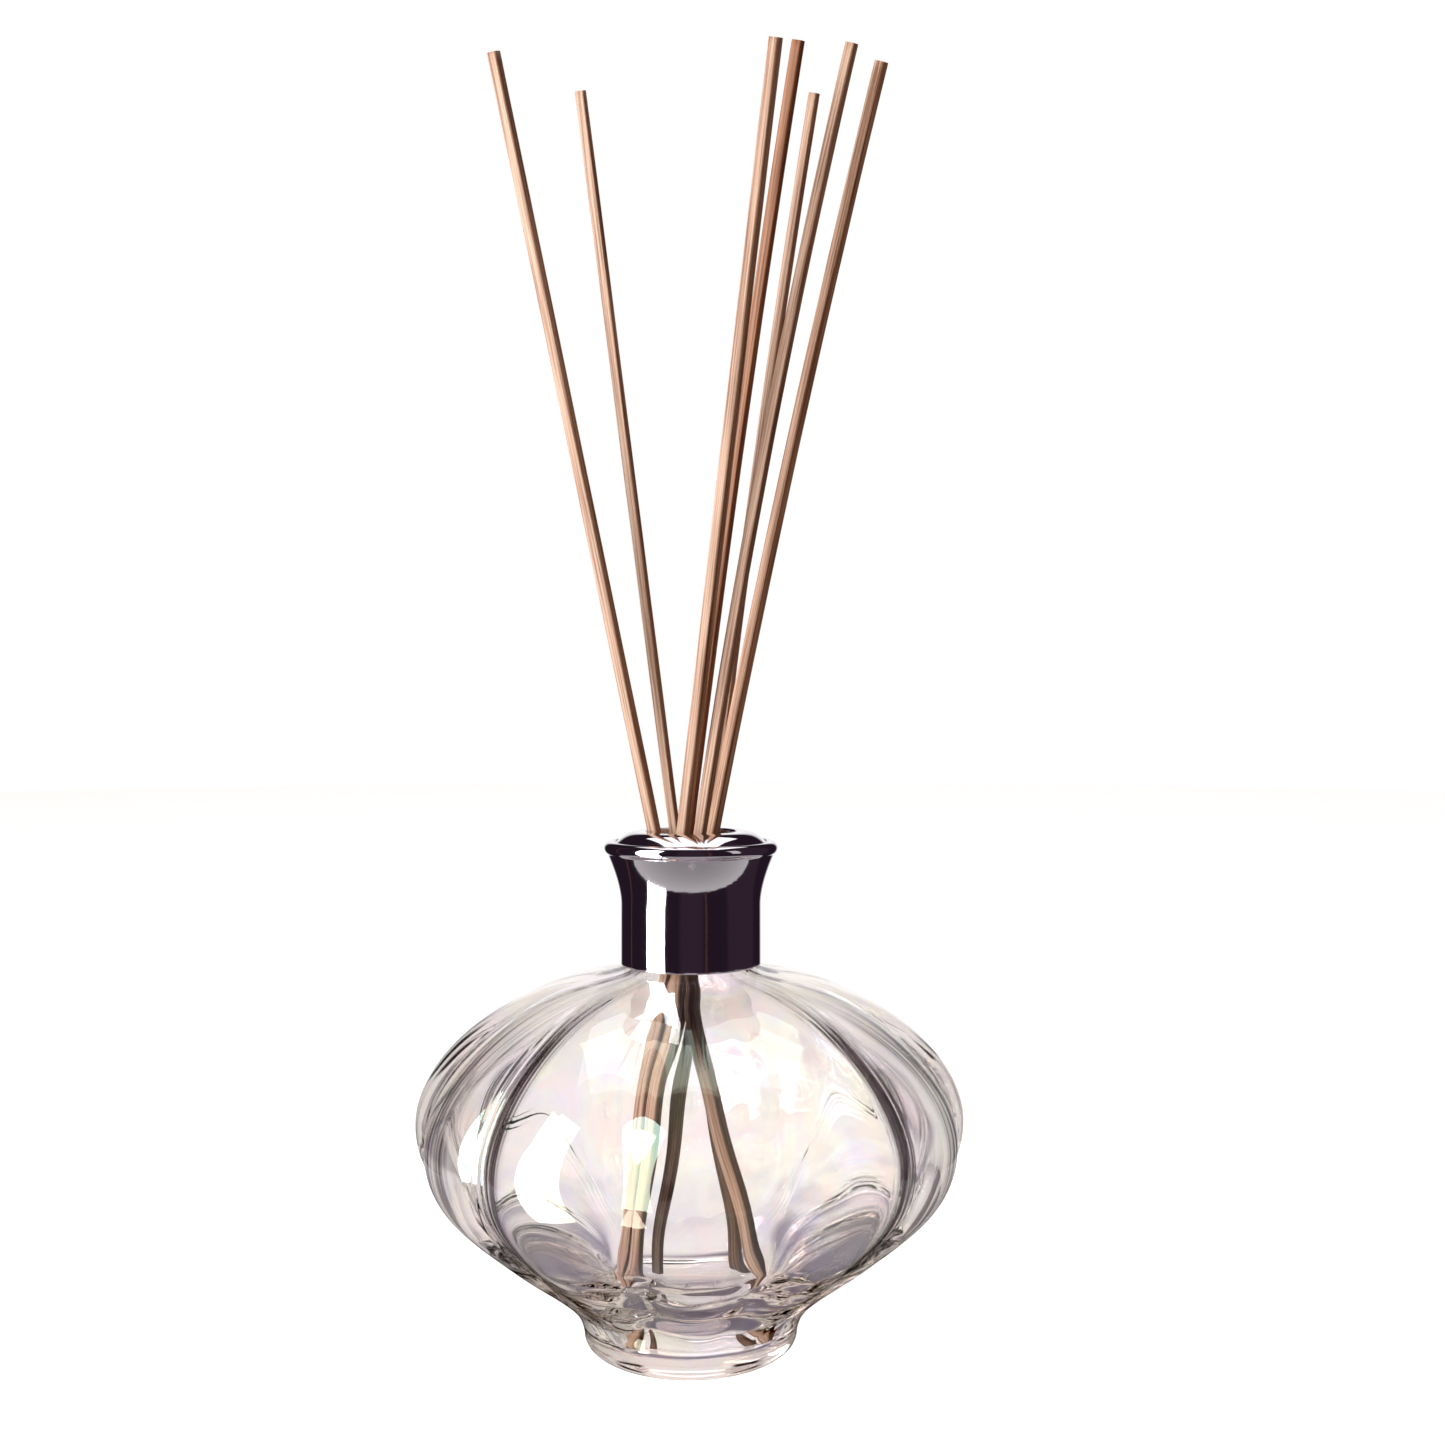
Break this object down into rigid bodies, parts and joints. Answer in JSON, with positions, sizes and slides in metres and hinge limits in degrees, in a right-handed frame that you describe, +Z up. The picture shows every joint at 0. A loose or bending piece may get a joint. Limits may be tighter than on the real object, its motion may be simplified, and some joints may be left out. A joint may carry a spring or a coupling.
{
  "type": "reed diffuser",
  "caption": "Fluted clear glass bottle on a narrow foot, with a flared chrome collar and bamboo reeds fanning out of its neck.",
  "frame": {"origin": "centre of the bottle's flat base", "axes": "+Z up along the bottle's axis, -Y towards the viewer's side, +X to the viewer's right"},
  "size_m": [0.1266, 0.1266, 0.3008],
  "materials": {
    "glass": "clear blown glass with a faint pink-grey lustre coat",
    "chrome": "mirror polished",
    "liner": "satin moulded plastic, dark brown",
    "seal": "soft foamed plastic",
    "bamboo": "raw split bamboo with fine lengthwise grain"
  },
  "bodies": {
    "bottle": {"bottle": "glass"},
    "collar": {"collar_shell": "chrome", "collar_top_plate": "chrome", "neck_sleeve": "liner", "lip_seal": "seal"},
    "reed_1": {"reed_1": "bamboo"},
    "reed_2": {"reed_2": "bamboo"},
    "reed_3": {"reed_3": "bamboo"},
    "reed_4": {"reed_4": "bamboo"},
    "reed_5": {"reed_5": "bamboo"},
    "reed_6": {"reed_6": "bamboo"},
    "reed_7": {"reed_7": "bamboo"}
  },
  "joints": [
    {"name": "collar_lift", "type": "slide", "parent": "bottle", "child": "collar", "axis": [0, 0, 1], "range_m": [0, 0.03]},
    {"name": "reed_1_pull", "type": "slide", "parent": "collar", "child": "reed_1", "axis": [-0.2033, 0.0203, 0.9789], "range_m": [0, 0.1]},
    {"name": "reed_2_pull", "type": "slide", "parent": "collar", "child": "reed_2", "axis": [-0.1256, -0.0201, 0.9919], "range_m": [0, 0.1]},
    {"name": "reed_3_pull", "type": "slide", "parent": "collar", "child": "reed_3", "axis": [0.1152, -0.0373, 0.9926], "range_m": [0, 0.1]},
    {"name": "reed_4_pull", "type": "slide", "parent": "collar", "child": "reed_4", "axis": [0.1284, -0.0215, 0.9915], "range_m": [0, 0.1]},
    {"name": "reed_5_pull", "type": "slide", "parent": "collar", "child": "reed_5", "axis": [0.1239, 0.0186, 0.9921], "range_m": [0, 0.1]},
    {"name": "reed_6_pull", "type": "slide", "parent": "collar", "child": "reed_6", "axis": [0.1645, 0.0128, 0.9863], "range_m": [0, 0.1]},
    {"name": "reed_7_pull", "type": "slide", "parent": "collar", "child": "reed_7", "axis": [0.2, -0.0007, 0.9798], "range_m": [0, 0.1]}
  ]
}
